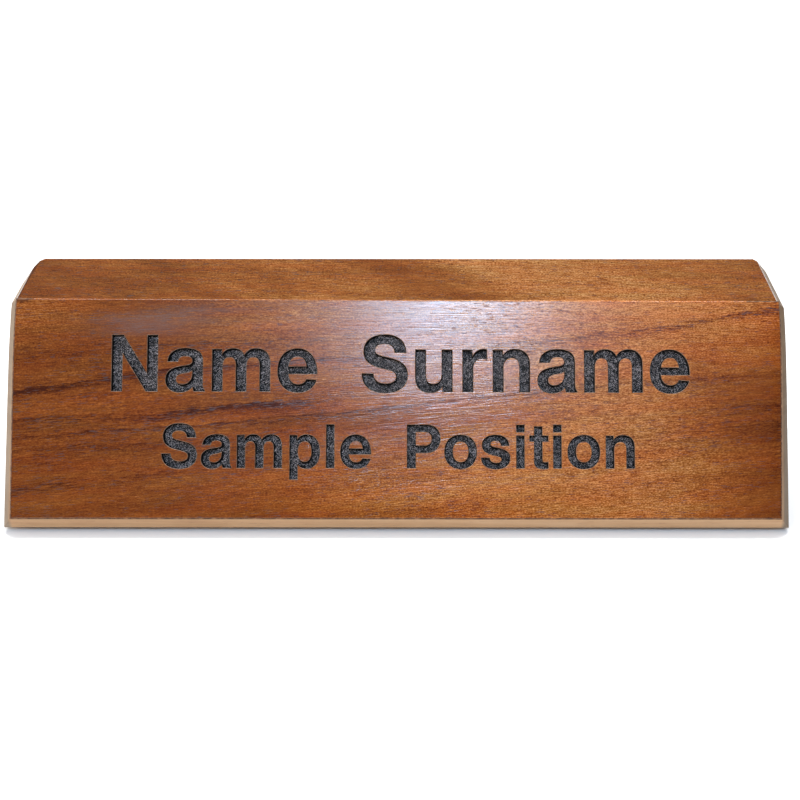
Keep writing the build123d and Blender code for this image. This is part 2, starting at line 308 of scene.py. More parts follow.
def walnut(name, origin, up, inward, seed, slope, base, streaks=(), gain=1.0, top_v=60.0, grey_at=None, coarse=1.0,
           tint=None, sheen_tints=False):
    """Lacquered walnut veneer. x runs along the block, v along `up`, both in mm from origin."""
    g = Graph(name)
    x = g.along((1, 0, 0), origin)
    v = g.along(up, origin)
    d = g.along(inward, origin)
    sx = g.add(x, seed * 37.0)
    wide = g.sub(g.noise(g.vec(g.mul(sx, 1 / 58), g.mul(v, 1 / 17), seed), 1.5), 0.5)
    fine = g.sub(g.noise(g.vec(g.mul(sx, 1 / 13), g.mul(v, 1 / 4.5), seed + 3.1), 2.0), 0.5)
    # the grain runs level near the top of the sheet and climbs to the right lower down
    climbing = g.span(v, 58, 30, 0.25, 1.0)
    straight = g.add(v, g.mul(x, climbing, -slope), g.mul(wide, 1.8))
    q = g.add(straight, g.mul(fine, 1.3))
    band = g.sub(g.noise(g.vec(g.mul(sx, 1 / 120), g.mul(q, 1 / 5.5), seed + 1.7), 3.0, 0.55), 0.5)
    line = g.sub(g.noise(g.vec(g.mul(sx, 1 / 30), g.mul(q, 1 / 1.1), seed + 5.3), 3.0, 0.6), 0.5)
    dash = g.sub(g.noise(g.vec(g.mul(sx, 1 / 4.5), g.mul(q, 1 / 0.42), g.mul(d, 0.5)), 2.0, 0.6), 0.5)
    grit = g.sub(g.noise(g.vec(g.mul(sx, 1 / 0.55), g.mul(straight, 1 / (0.22 * coarse)), g.mul(d, 2.0)), 1.0, 0.6), 0.5)
    strand = g.sub(g.noise(g.vec(g.mul(sx, 1 / 3.6), g.mul(straight, 1 / (0.22 * coarse)), seed + 61.0), 1.0, 0.6), 0.5)
    broad = base(g, x, v)
    crisp = g.span(broad, 0.36, 0.70, 0.50, 1.35, "LINEAR")
    patch = g.sub(g.noise(g.vec(g.mul(sx, 1 / 30), g.mul(q, 1 / 7.0), seed + 15.3), 2.0, 0.5), 0.5)
    # the growth lines are made of many short dark dashes, so they break up the fine grain around them
    ragged = g.add(g.mul(fine, 1.2), g.mul(line, 1.6), g.mul(dash, 1.3))
    vv = g.add(v, ragged)
    growth = None
    for centre, strength, width, depth in streaks:
        c = g.curve(x, centre, -108, 108)
        s = g.curve(x, strength, -108, 108)
        off = g.math("DIVIDE", g.sub(vv, c), width)
        # a growth line stops sharply on its upper side and fades out below
        off = g.mul(off, g.span(off, -0.4, 0.4, 0.62, 1.35))
        bell = g.math("EXPONENT", g.mul(off, off, -1.0))
        part = g.mul(bell, s, depth)
        growth = part if growth is None else g.add(growth, part)
    tone = g.add(broad, g.mul(band, 0.26), g.mul(patch, 0.26), g.mul(line, 0.26), g.mul(dash, 0.36),
                 g.mul(g.add(g.mul(grit, 1.25), g.mul(strand, 0.95)), crisp))
    if growth is not None:
        threads = g.span(g.add(dash, g.mul(line, 0.8)), -0.16, 0.10, 1.55, 0.40, "LINEAR")
        tone = g.sub(tone, g.mul(growth, threads))
    # vessels: short dark dashes that follow the grain, thicker in some bands than in others
    pq = g.add(straight, g.mul(grit, 0.08))
    vessel = g.noise(g.vec(g.mul(sx, 1 / 3.0), g.mul(pq, 1 / (0.20 * coarse)), seed + 9.0), 1.0, 0.5)
    crowd = g.noise(g.vec(g.mul(sx, 1 / 26), g.mul(q, 1 / 3.2), seed + 11.0), 2.0)
    dense = g.span(crowd, 0.35, 0.7, 0.67, 0.57)
    if growth is not None:
        dense = g.sub(dense, g.mul(growth, 0.30))
    pore = g.span(vessel, dense, g.add(dense, 0.07))
    # paler flecks along the vessels, partly the wood's own and partly painted glints on the lacquer
    fleck_noise = g.noise(g.vec(g.mul(sx, 1 / 1.4), g.mul(pq, 1 / (0.19 * coarse)), seed + 23.0), 1.0, 0.5)
    fleck = g.span(fleck_noise, 0.62, 0.71)
    tone = g.mul(g.add(tone, g.mul(pore, -0.30), g.mul(fleck, 0.14)), gain)
    colour = g.ramp(tone, WALNUT)
    hue = g.noise(g.vec(g.mul(sx, 1 / 22), g.mul(q, 1 / 3.5), seed + 51.0), 2.0, 0.5)
    colour = g.mix(g.span(hue, 0.3, 0.7, 0.0, 1.0), g.mix(1.0, colour, (1.03, 0.92, 0.82), "MULTIPLY"),
                   g.mix(1.0, colour, (0.99, 1.09, 1.08), "MULTIPLY"))
    colour = g.mix(g.mul(pore, 0.22), colour, (0.10, 0.065, 0.064))
    if tint is not None:
        colour = g.mix(1.0, colour, tint, "MULTIPLY")
    if grey_at is not None:
        gx, gv, rx, rv = grey_at
        along = g.mul(g.add(x, -gx, g.mul(band, 60.0)), 1 / rx)
        over = g.mul(g.add(v, -gv, g.mul(x, -0.10), gx * 0.10, g.mul(ragged, 2.0)), 1 / rv)
        cloud = g.math("EXPONENT", g.mul(g.add(g.mul(along, along), g.mul(over, over)), -1.0))
        colour = g.mix(g.mul(cloud, g.span(dash, -0.15, 0.1, 0.85, 0.45)), colour, (0.17, 0.105, 0.090))
    # the knife-cut ends of the sheet are ragged and dark
    edge_noise = g.noise(g.vec(g.mul(x, 1 / 1.1), g.mul(v, 1 / 0.5), seed + 41.0), 2.0, 0.7)
    far = g.math("ABSOLUTE", x)
    margin = 105.45
    if top_v < 900:
        climb = g.span(v, foot_a, slant, kind="LINEAR")
        left = g.math("MULTIPLY_ADD", climb, 0.54, HALF - 2.42)
        right = g.math("MULTIPLY_ADD", climb, 0.87, HALF - 2.72)
        side = g.math("GREATER_THAN", x, 0.0)
        margin = g.add(left, g.mul(side, g.sub(right, left)))
    torn = g.span(g.sub(g.add(far, g.mul(edge_noise, 1.3)), margin), 0.30, 0.62)
    rim_v = g.mul(g.span(g.add(v, g.mul(edge_noise, 1.6)), top_v + 1.35, top_v + 1.7), g.span(far, 100.5, 103.5))
    colour = g.mix(g.mul(g.math("MAXIMUM", torn, rim_v), 0.55), colour, (0.035, 0.014, 0.008))
    silk = g.sub(g.noise(g.vec(g.mul(sx, 1 / 19.0), g.mul(straight, 1 / 0.25), seed + 31.0), 1.5, 0.6), 0.5)
    height = g.add(g.mul(pore, -0.30), g.mul(fleck, 0.14), g.mul(silk, 2.7), g.mul(strand, 0.6), g.mul(grit, 0.3))
    rough = g.add(0.196, g.mul(silk, 0.10), g.mul(pore, 0.2))
    if sheen_tints:
        # the middle of the lower half is more evenly filled, so its gloss is tighter
        low = g.mul(g.span(v, 50, 32), g.span(x, -60, -25), g.span(x, 75, 30))
        rough = g.add(rough, g.mul(low, -0.035))
        # its colour is warmed to gold there: partly the wood's tone, partly painted to take the blue of the lamp's
        # sheen out
        colour = g.mix(low, colour, g.mix(1.0, colour, (1.0, 0.93, 0.74), "MULTIPLY"))
        # the upper right part is painted redder: partly the wood's tone, partly to take the blue of the lamp's sheen
        # out
        high = g.mul(g.span(v, 40, 50), g.span(x, 34, 56))
        colour = g.mix(high, colour, g.mix(1.0, colour, (1.01, 0.90, 0.80), "MULTIPLY"))
    normal = g.bump(height, 0.0080)
    return g.finish(colour, rough, normal, Specular_IOR_Level=0.5)


def front_base(g, x, v):
    """Broad tone across the front sheet: reddish and darker on the left, golden on the right, dark at the ends."""
    along = g.curve(x, ((-108, 0.33), (-97, 0.36), (-64, 0.385), (-43, 0.42), (-21, 0.51), (1, 0.60), (23, 0.68),
                        (45, 0.70), (67, 0.69), (83, 0.58), (98, 0.40), (108, 0.30)), -108, 108)
    upper = g.mul(g.span(v, 46, 58), g.curve(x, ((-108, 0.13), (-90, 0.09), (-70, -0.01), (-40, 0.04), (0, 0.0),
                  (40, 0.05), (60, 0.08), (80, 0.11), (95, 0.08), (108, 0.04)), -108, 108))
    corner = g.mul(g.span(v, 38, 50), g.span(x, 78, 98), 0.15)
    middle = g.math("EXPONENT", g.mul(g.math("POWER", g.mul(g.sub(v, 33.0), 1 / 9.0), 2.0), -1.0))
    middle = g.mul(middle, g.curve(x, ((-108, 0.0), (-70, 0.0), (-25, -0.10), (15, -0.12), (40, -0.06), (60, -0.02),
                                       (85, -0.08), (108, -0.06)), -108, 108))
    ridge = g.mul(g.span(v, 55, 61), g.curve(x, ((-108, 0.05), (-60, 0.03), (-25, 0.05), (10, 0.02), (50, 0.05),
                                                 (108, 0.08)), -108, 108))
    low = g.math("EXPONENT", g.mul(g.math("POWER", g.mul(g.sub(v, 13.5), 1 / 4.5), 2.0), -1.0))
    low = g.mul(low, g.curve(x, ((-108, 0.0), (-50, 0.02), (-20, 0.06), (20, 0.04), (60, 0.0), (108, 0.03)),
                             -108, 108))
    foot = g.mul(g.span(v, 9, 4.5), -0.05)
    return g.add(along, upper, corner, middle, ridge, low, foot)


def top_base(g, x, v):
    """The top sheet has a mottled figure: soft patches that lean across the grain."""
    along = g.curve(x, ((-108, 0.38), (-90, 0.42), (-60, 0.48), (-30, 0.55), (0, 0.58), (50, 0.62), (80, 0.60),
                        (100, 0.52), (108, 0.45)), -108, 108)
    lean_x = g.add(x, g.mul(v, 1.1))
    pale = g.mul(g.span(lean_x, 22, 44), g.span(lean_x, 96, 70), 0.13)
    dark = g.mul(g.span(lean_x, 2, 18), g.span(lean_x, 52, 34), -0.12)
    mottle = g.noise(g.vec(g.mul(lean_x, 1 / 13), g.mul(v, 1 / 16), 4.0), 2.0, 0.5)
    return g.add(along, pale, dark, g.mul(g.sub(mottle, 0.5), 0.34))


def back_base(g, x, v):
    """The back sheet is plainer."""
    slow = g.noise(g.vec(g.mul(x, 1 / 60), g.mul(v, 1 / 20), 8.0), 2.0, 0.5)
    return g.add(0.50, g.mul(g.sub(slow, 0.5), 0.3))


def raw_wood(name, seed, centre_y, centre_z, tilt=0.0, tint=(1.0, 1.0, 1.0)):
    """Sanded pale hardwood: rings across the section, straight grain along the block, greyer on the ends."""
    g = Graph(name)
    x = g.along((1, 0, 0), (0, 0, 0))
    y = g.along((0, 1, 0), (0, centre_y, 0))
    z = g.along((0, 0, 1), (0, 0, centre_z))
    wob = g.mul(g.sub(g.noise(g.vec(g.mul(x, 1 / 70), g.mul(y, 1 / 14), g.add(g.mul(z, 1 / 14), seed)), 2.0), 0.5), 3.5)
    r = g.add(g.math("SQRT", g.add(g.mul(y, y), g.mul(z, z))), wob, g.mul(x, tilt))
    ring = g.noise(g.vec(g.mul(r, 1 / 1.9), seed, g.mul(x, 1 / 400)), 2.0, 0.5)
    thin = g.noise(g.vec(g.mul(r, 1 / 0.5), seed + 4.0, g.mul(x, 1 / 60)), 1.5, 0.6)
    fibre = g.noise(g.vec(g.mul(x, 1 / 9), g.mul(y, 1 / 0.22), g.mul(z, 1 / 0.22)), 2.0, 0.6)
    blotch = g.noise(g.vec(g.mul(x, 1 / 14), g.mul(y, 1 / 5), g.mul(z, 1 / 5)), 2.0, 0.6)
    speck = g.noise(g.vec(g.mul(x, 1 / 2.4), g.mul(y, 1 / 0.16), g.mul(z, 1 / 0.16)), 1.0, 0.5)
    tone = g.add(0.52, g.mul(g.sub(ring, 0.5), 0.62), g.mul(g.sub(thin, 0.5), 0.36), g.mul(g.sub(fibre, 0.5), 0.42),
                 g.mul(g.sub(blotch, 0.5), 0.5))
    pale = tuple(a * b for a, b in zip((0.70, 0.445, 0.258), tint))
    mid = tuple(a * b for a, b in zip((0.61, 0.362, 0.190), tint))
    dark = tuple(a * b for a, b in zip((0.46, 0.245, 0.118), tint))
    colour = g.ramp(tone, ((0.1, dark), (0.5, mid), (0.9, pale)))
    # the end grain starts further in near the top, where the ends draw in
    high = g.span(g.along((0, 0, 1), (0, 0, 0)), 42.0, 54.0)
    end = g.span(g.add(g.math("ABSOLUTE", x), g.mul(high, 1.6)), HALF - 2.6, HALF - 1.2)
    grey = g.ramp(tone, ((0.1, (0.27, 0.185, 0.120)), (0.5, (0.37, 0.272, 0.190)), (0.9, (0.45, 0.345, 0.250))))
    colour = g.mix(end, colour, g.mix(1.0, grey, (0.80, 0.80, 0.80), "MULTIPLY"))
    # the right-hand end is painted darker: this stands in for the shade on it and isn't a known colour of the wood.
    # Next to the face both ends carry a little stain and glue
    colour = g.mix(g.mul(g.span(x, 100.0, 104.0), end), colour, g.mix(1.0, colour, (0.63, 0.62, 0.615), "MULTIPLY"))
    depth = g.along(into_face, foot_origin)
    near_face = g.mul(g.span(depth, 1.5, 0.5), end, 0.8)
    colour = g.mix(near_face, colour, g.mix(1.0, colour, (0.98, 0.80, 0.60), "MULTIPLY"))
    pore = g.span(speck, 0.66, 0.74)
    colour = g.mix(g.mul(pore, 0.45), colour, (0.16, 0.085, 0.045))
    height = g.add(g.mul(fibre, 1.0), g.mul(pore, -0.8), g.mul(thin, 0.5))
    normal = g.bump(height, 0.02)
    return g.finish(colour, g.span(fibre, 0.2, 0.8, 0.56, 0.72), normal, Specular_IOR_Level=0.3)


def paint(name, base=(0.007, 0.0065, 0.0065), grey=(0.60, 0.51, 0.50), speck=0.95, gloss=0.25, rough=(0.42, 0.62)):
    """Flat black paint over fuzzy routed wood, with pale grey specks on its high points."""
    g = Graph(name)
    x = g.along((1, 0, 0), (0, 0, 0))
    y = g.along((0, 1, 0), (0, 0, 0))
    z = g.along((0, 0, 1), (0, 0, 0))
    grain = g.noise(g.vec(g.mul(x, 1 / 0.26), g.mul(y, 1 / 0.17), g.mul(z, 1 / 0.17)), 1.0, 0.6)
    broad = g.noise(g.vec(g.mul(x, 1 / 1.6), g.mul(y, 1 / 1.0), g.mul(z, 1 / 1.0)), 1.0, 0.5)
    fine = g.noise(g.vec(g.mul(x, 1 / 0.16), g.mul(y, 1 / 0.16), g.mul(z, 1 / 0.16)), 1.0, 0.5)
    high = g.span(g.add(grain, g.mul(g.sub(broad, 0.5), 0.25)), 0.53, 0.64)
    colour = g.mix(g.mul(high, speck), base, grey)
    normal = g.bump(g.add(grain, g.mul(fine, 0.5)), 0.14)
    return g.finish(colour, g.span(fine, 0.3, 0.7, *rough), normal, Specular_IOR_Level=gloss)


def cut_edge(name):
    """Bare walnut where a tool has broken the lacquer."""
    g = Graph(name)
    x = g.along((1, 0, 0), (0, 0, 0))
    y = g.along((0, 1, 0), (0, 0, 0))
    z = g.along((0, 0, 1), (0, 0, 0))
    n = g.noise(g.vec(g.mul(x, 1 / 1.6), g.mul(y, 1 / 0.4), g.mul(z, 1 / 0.4)), 3.0, 0.6)
    colour = g.ramp(n, ((0.3, (0.09, 0.040, 0.020)), (0.5, (0.19, 0.105, 0.062)), (0.72, (0.34, 0.235, 0.165))))
    return g.finish(colour, 0.5, g.bump(n, 0.02), Specular_IOR_Level=0.35)


def sheet_edge(name):
    """The cut edge of the walnut sheet, darkened by sanding dust and lacquer."""
    g = Graph(name)
    x = g.along((1, 0, 0), (0, 0, 0))
    y = g.along((0, 1, 0), (0, 0, 0))
    z = g.along((0, 0, 1), (0, 0, 0))
    n = g.noise(g.vec(g.mul(x, 1 / 2.2), g.mul(y, 1 / 1.2), g.mul(z, 1 / 1.2)), 3.0, 0.7)
    colour = g.ramp(n, ((0.35, (0.045, 0.018, 0.008)), (0.5, (0.13, 0.052, 0.018)), (0.65, (0.28, 0.13, 0.055))))
    return g.finish(colour, 0.5, g.bump(n, 0.03), Specular_IOR_Level=0.3)


def felt(name):
    """Pressed black felt."""
    g = Graph(name)
    x = g.along((1, 0, 0), (0, 0, 0))
    y = g.along((0, 1, 0), (0, 0, 0))
    z = g.along((0, 0, 1), (0, 0, 0))
    p = g.vec(x, y, g.mul(z, 1.5))
    fuzz = g.noise(p, 4.0, 0.75, 1.6, scale=1.9)
    lump = g.noise(p, 2.0, 0.5, 0.0, scale=0.16)
    colour = g.ramp(g.add(g.mul(fuzz, 0.8), g.mul(lump, 0.2)),
                    ((0.3, (0.006, 0.006, 0.007)), (0.55, (0.017, 0.017, 0.019)), (0.8, (0.060, 0.060, 0.066))))
    return g.finish(colour, 0.95, g.bump(fuzz, 0.25), Specular_IOR_Level=0.1, Sheen_Weight=0.35, Sheen_Roughness=0.5)


foot_origin = (0.0, Y0, Z0)
up_face = (0.0, SL, CL)
into_face = (0.0, CL, -SL)
M_FRONT = walnut("walnut_front", foot_origin, up_face, into_face, 1.0, 0.085, front_base, STREAKS, top_v=slant - 1.2,
                 grey_at=(-62.0, 59.0, 17.0, 4.0), sheen_tints=True, tint=(0.90, 0.855, 0.785))
M_TOP = walnut("walnut_top", (0, Y0 + run, TOP), (0, 1, 0), (0, 0, -1), 4.0, -0.03, top_base, gain=0.97, top_v=999.0,
               coarse=2.0, tint=(0.67, 0.72, 0.75))
M_BACK = walnut("walnut_back", (0, BACK, Z0), (0, 0, 1), (0, -1, 0), 7.0, 0.05, back_base, top_v=999.0,
                tint=(0.70, 0.74, 0.72))
M_LOWER = raw_wood("hardwood_lower", 2.0, 22.0, -34.0, 0.01, (0.765, 0.765, 0.765))
M_UPPER = raw_wood("hardwood_upper", 6.0, -12.0, 96.0, -0.008, (0.98, 0.99, 1.0))
M_PAINT = paint("letter_paint")
# a darker copy of the letter paint with few specks: painted shade for the strip along the pocket walls
M_PAINT_SHADE = paint("letter_paint_painted_shade", (0.004, 0.004, 0.004), (0.07, 0.065, 0.065), 0.4, 0.12, (0.6, 0.8))
M_STAIN = paint("letter_wall_paint", (0.004, 0.004, 0.004), (0.012, 0.011, 0.010), 0.25, 0.1, (0.7, 0.9))
M_CUT = cut_edge("cut_walnut")
M_EDGE = sheet_edge("walnut_sheet_edge")
M_FELT = felt("black_felt")

# ---- the block as an intersection of half spaces --------------------------------------------------------------
# A plane is (outward unit normal, distance), and the wood lies where normal . p <= distance.


def plane(normal, through):
    n = np.array(normal, float)
    n /= np.linalg.norm(n)
    return n, float(n @ np.array(through, float))


def easing(a, b, radius, steps):
    """Planes that round the edge between planes a and b."""
    (n1, d1), (n2, d2) = a, b
    k = float(n1 @ n2)
    s = np.linalg.solve([[1, k], [k, 1]], [d1 - radius, d2 - radius])
    c = s[0] * n1 + s[1] * n2
    angle = math.acos(max(-1, min(1, k)))
    made = []
    for i in range(1, steps + 1):
        t = i / (steps + 1)
        n = (math.sin((1 - t) * angle) * n1 + math.sin(t * angle) * n2) / math.sin(angle)
        n /= np.linalg.norm(n)
        made.append((n, float(n @ c) + radius))
    return made


FACE = plane((0, -CL, SL), on_face(0, slant))
TOPF = plane((0, 0, 1), (0, 0, TOP))
REAR = plane((0, 1, 0), (0, BACK, 0))
UNDER = plane((0, 0, -1), (0, 0, Z0))
a45 = lean - math.pi / 4
FOOT = plane((0, -math.cos(a45), math.sin(a45)), on_face(0, foot_a - 0.25))
HEEL = plane((0, 1, -1), (0, BACK, Z0 + BEVEL))
ENVELOPE = [FACE, TOPF, REAR, UNDER, FOOT, HEEL]
ENVELOPE += easing(FACE, TOPF, RIDGE_EASE, 3) + easing(TOPF, REAR, RIDGE_EASE, 3)
ENVELOPE += easing(FACE, FOOT, EASE, 2) + easing(FOOT, UNDER, 0.6, 3)
ENVELOPE += easing(REAR, HEEL, EASE, 2) + easing(HEEL, UNDER, EASE, 2)
for s in (-1, 1):
    END = plane((s, 0, 0), (s * HALF, 0, 0))
    # the hand-sanded end bevels narrow towards the top: widths at the start and the end of each edge
    widths = ((2.42, 1.88), (1.85, 1.00), (1.3, 1.6)) if s < 0 else ((2.72, 1.85), (2.25, 2.10), (1.8, 2.2))
    runs = (
        ((on_face(0, foot_a), on_face(0, slant)), FACE[0]),
        (((0, Y0 + run, TOP), (0, BACK, TOP)), TOPF[0]),
        (((0, BACK, TOP), (0, BACK, Z0)), REAR[0]),
    )
    bevels = []
    for (first, last), n in runs:
        w1, w2 = widths[len(bevels)]
        p = np.array(first, float) + np.array((s * (HALF - w1), 0, 0))
        e = np.array(last, float) + np.array((s * (HALF - w2), 0, 0)) - p
        across = np.cross(e / np.linalg.norm(e), n)
        across *= s * np.sign(across[0])
        bevels.append(plane(across + n, p))
    # the ends are sanded inwards near the back corners
    turns = ((7.0, 1.19, 2.15), (1.6, 1.95, 3.1)) if s < 0 else ((1.5, 2.15, 3.1),)
    corner = [plane((s * reach, w2 - w1, 0), (s * (HALF - w1), BACK - reach, 0)) for reach, w1, w2 in turns]
    ENVELOPE += corner + easing(TOPF, corner[-1], EASE, 2)
    ENVELOPE += [END] + bevels
    for wide_face, b in zip((FACE, TOPF, REAR), bevels):
        ENVELOPE += easing(wide_face, b, EASE, 2) + easing(b, END, EASE, 2)
    ENVELOPE += easing(bevels[0], bevels[1], EASE, 2) + easing(bevels[1], bevels[2], EASE, 2)
    ENVELOPE += easing(bevels[0], FOOT, EASE, 2) + easing(FOOT, END, EASE, 2)
    ENVELOPE += easing(bevels[2], HEEL, EASE, 2) + easing(HEEL, END, EASE, 2) + easing(UNDER, END, EASE, 3)


def flip(p):
    return -p[0], -p[1]


def lower_by(p, amount):
    return p[0], p[1] - amount


def solid(planes):
    """The convex solid inside all the planes, cut into strips so that it can follow warp()."""
    bm = bmesh.new()
    bmesh.ops.create_cube(bm, size=500)
    for n, dist in planes:
        out = bmesh.ops.bisect_plane(bm, geom=bm.verts[:] + bm.edges[:] + bm.faces[:], dist=1e-5,
                                     plane_co=Vector(n * dist), plane_no=Vector(n), clear_outer=True)
        rim = [e for e in out["geom_cut"] if isinstance(e, bmesh.types.BMEdge)]
        if len(rim) > 2:
            bmesh.ops.contextual_create(bm, geom=rim)
    stations = [x for x in range(-105, 106, 7)] + [-107.3, 107.3]
    for x in stations:
        bmesh.ops.bisect_plane(bm, geom=bm.verts[:] + bm.edges[:] + bm.faces[:], dist=1e-5,
                               plane_co=Vector((x, 0, 0)), plane_no=Vector((1, 0, 0)))
    for k in range(1, 14):
        bmesh.ops.bisect_plane(bm, geom=bm.verts[:] + bm.edges[:] + bm.faces[:], dist=1e-5,
                               plane_co=Vector((0, 0, Z0 + 4.1 * k)), plane_no=Vector((0, 0, 1)))
    bmesh.ops.recalc_face_normals(bm, faces=bm.faces)
    return bm


# ---- letters ------------------------------------------------------------------------------------------------
LETTERS = {
    "S": (652, [[("M", 598, 500), ("C", 594, 646, 500, 734, 324, 734), ("C", 160, 734, 56, 650, 56, 516),
                 ("C", 56, 400, 130, 336, 290, 300), ("C", 424, 270, 472, 252, 472, 192),
                 ("C", 472, 136, 420, 104, 334, 104), ("C", 240, 104, 184, 150, 180, 232), ("L", 34, 232),
                 ("C", 38, 70, 150, -16, 330, -16), ("C", 506, -16, 618, 70, 618, 214),
                 ("C", 618, 340, 540, 400, 376, 436), ("C", 250, 464, 200, 482, 200, 532),
                 ("C", 200, 584, 244, 614, 318, 614), ("C", 400, 614, 448, 578, 454, 500), ("L", 598, 500)]]),
    "N": (723, [[("M", 68, 0), ("L", 68, 718), ("L", 214, 718), ("L", 520, 226), ("L", 520, 718), ("L", 655, 718),
                 ("L", 655, 0), ("L", 509, 0), ("L", 203, 492), ("L", 203, 0), ("L", 68, 0)]]),
    "P": (655, [[("M", 72, 0), ("L", 72, 718), ("L", 386, 718), ("C", 536, 718, 620, 630, 620, 486),
                 ("C", 620, 344, 534, 252, 390, 252), ("L", 212, 252), ("L", 212, 0), ("L", 72, 0)],
                [("M", 212, 372), ("L", 360, 372), ("C", 438, 372, 478, 412, 478, 486),
                 ("C", 478, 560, 438, 598, 360, 598), ("L", 212, 598), ("L", 212, 372)]]),
    "a": (562, [[("M", 536, 0), ("L", 398, 0), ("C", 390, 18, 386, 36, 384, 60), ("C", 340, 10, 284, -14, 216, -14),
                 ("C", 106, -14, 34, 52, 34, 150), ("C", 34, 254, 104, 306, 250, 324),
                 ("C", 344, 336, 376, 350, 376, 386), ("C", 376, 430, 346, 452, 288, 452),
                 ("C", 230, 452, 198, 430, 190, 380), ("L", 58, 380), ("C", 66, 492, 146, 552, 292, 552),
                 ("C", 436, 552, 508, 496, 508, 388), ("L", 508, 116), ("C", 508, 66, 516, 34, 536, 14),
                 ("L", 536, 0)],
                [("M", 376, 268), ("C", 350, 250, 322, 242, 264, 232), ("C", 196, 220, 166, 200, 166, 156),
                 ("C", 166, 112, 196, 88, 244, 88), ("C", 320, 88, 376, 140, 376, 222), ("L", 376, 268)]]),
    "m": (870, [[("M", 66, 0), ("L", 66, 540), ("L", 188, 540), ("L", 188, 474), ("C", 220, 524, 270, 552, 332, 552),
                 ("C", 402, 552, 450, 522, 474, 466), ("C", 510, 522, 562, 552, 626, 552),
                 ("C", 740, 552, 806, 482, 806, 362), ("L", 806, 0), ("L", 674, 0), ("L", 674, 330),
                 ("C", 674, 402, 646, 440, 592, 440), ("C", 534, 440, 502, 396, 502, 322), ("L", 502, 0),
                 ("L", 370, 0), ("L", 370, 330), ("C", 370, 402, 342, 440, 288, 440),
                 ("C", 230, 440, 198, 396, 198, 322), ("L", 198, 0), ("L", 66, 0)]]),
    "p": (600, [[("M", 66, -190), ("L", 66, 540), ("L", 190, 540), ("L", 190, 470), ("C", 226, 524, 276, 552, 342, 552),
                 ("C", 478, 552, 566, 440, 566, 270), ("C", 566, 98, 478, -12, 344, -12),
                 ("C", 282, -12, 232, 14, 198, 64), ("L", 198, -190), ("L", 66, -190)],
                [("M", 314, 442), ("C", 241, 442, 198, 376, 198, 270), ("C", 198, 164, 241, 98, 314, 98),
                 ("C", 387, 98, 430, 164, 430, 270), ("C", 430, 376, 387, 442, 314, 442)]]),
    "l": (272, [[("M", 70, 0), ("L", 70, 718), ("L", 202, 718), ("L", 202, 0), ("L", 70, 0)]]),
    "i": (272, [[("M", 70, 0), ("L", 70, 540), ("L", 202, 540), ("L", 202, 0), ("L", 70, 0)],
                [("M", 70, 598), ("L", 70, 718), ("L", 202, 718), ("L", 202, 598), ("L", 70, 598)]]),
    "e": (562, [[("M", 536, 226), ("C", 542, 420, 440, 552, 288, 552), ("C", 132, 552, 32, 440, 32, 268),
                 ("C", 32, 94, 130, -12, 290, -12), ("C", 412, -12, 498, 46, 528, 148), ("L", 398, 158),
                 ("C", 382, 112, 342, 92, 294, 92), ("C", 222, 92, 174, 140, 168, 226), ("L", 536, 226)],
                [("M", 170, 320), ("L", 402, 320), ("C", 396, 402, 354, 448, 288, 448),
                 ("C", 220, 448, 178, 402, 170, 320)]]),
    "n": (600, [[("M", 66, 0), ("L", 66, 540), ("L", 190, 540), ("L", 190, 468), ("C", 226, 524, 280, 552, 346, 552),
                 ("C", 468, 552, 536, 480, 536, 352), ("L", 536, 0), ("L", 404, 0), ("L", 404, 318),
                 ("C", 404, 398, 372, 440, 310, 440), ("C", 240, 440, 198, 392, 198, 314), ("L", 198, 0),
                 ("L", 66, 0)]]),
    "o": (600, [[("M", 300, 552), ("C", 458, 552, 566, 444, 566, 270), ("C", 566, 96, 458, -12, 300, -12),
                 ("C", 142, -12, 34, 96, 34, 270), ("C", 34, 444, 142, 552, 300, 552)],
                [("M", 300, 442), ("C", 216, 442, 168, 378, 168, 270), ("C", 168, 162, 216, 98, 300, 98),
                 ("C", 384, 98, 432, 162, 432, 270), ("C", 432, 378, 384, 442, 300, 442)]]),
    "r": (386, [[("M", 66, 0), ("L", 66, 540), ("L", 190, 540), ("L", 190, 452), ("C", 222, 520, 272, 552, 338, 552),
                 ("C", 352, 552, 364, 550, 374, 547), ("L", 374, 418), ("C", 358, 424, 340, 427, 318, 427),
                 ("C", 240, 427, 198, 380, 198, 292), ("L", 198, 0), ("L", 66, 0)]]),
    "s": (550, [[("M", 500, 372), ("C", 494, 490, 412, 552, 276, 552), ("C", 140, 552, 54, 486, 54, 380),
                 ("C", 54, 290, 112, 246, 244, 216), ("C", 350, 192, 376, 182, 376, 144),
                 ("C", 376, 108, 344, 86, 284, 86), ("C", 216, 86, 180, 116, 176, 172), ("L", 40, 172),
                 ("C", 44, 54, 130, -14, 282, -14), ("C", 430, -14, 516, 56, 516, 170),
                 ("C", 516, 262, 462, 302, 322, 334), ("C", 218, 358, 192, 368, 192, 402),
                 ("C", 192, 434, 222, 454, 274, 454), ("C", 334, 454, 364, 428, 370, 372),
                 ("L", 500, 372)]]),
    "t": (338, [[("M", 92, 690), ("L", 224, 690), ("L", 224, 540), ("L", 322, 540), ("L", 322, 444), ("L", 224, 444),
                 ("L", 224, 150), ("C", 224, 108, 236, 98, 276, 98), ("C", 292, 98, 308, 99, 322, 101),
                 ("L", 322, -2), ("C", 296, -8, 268, -10, 240, -10), ("C", 136, -10, 92, 24, 92, 118),
                 ("L", 92, 444), ("L", 16, 444), ("L", 16, 540), ("L", 92, 540), ("L", 92, 690)]]),
    "u": (600, [[("M", 534, 540), ("L", 534, 0), ("L", 410, 0), ("L", 410, 72), ("C", 374, 16, 320, -12, 254, -12),
                 ("C", 132, -12, 64, 60, 64, 188), ("L", 64, 540), ("L", 196, 540), ("L", 196, 222),
                 ("C", 196, 142, 228, 100, 290, 100), ("C", 360, 100, 402, 148, 402, 226), ("L", 402, 540),
                 ("L", 534, 540)]]),
}


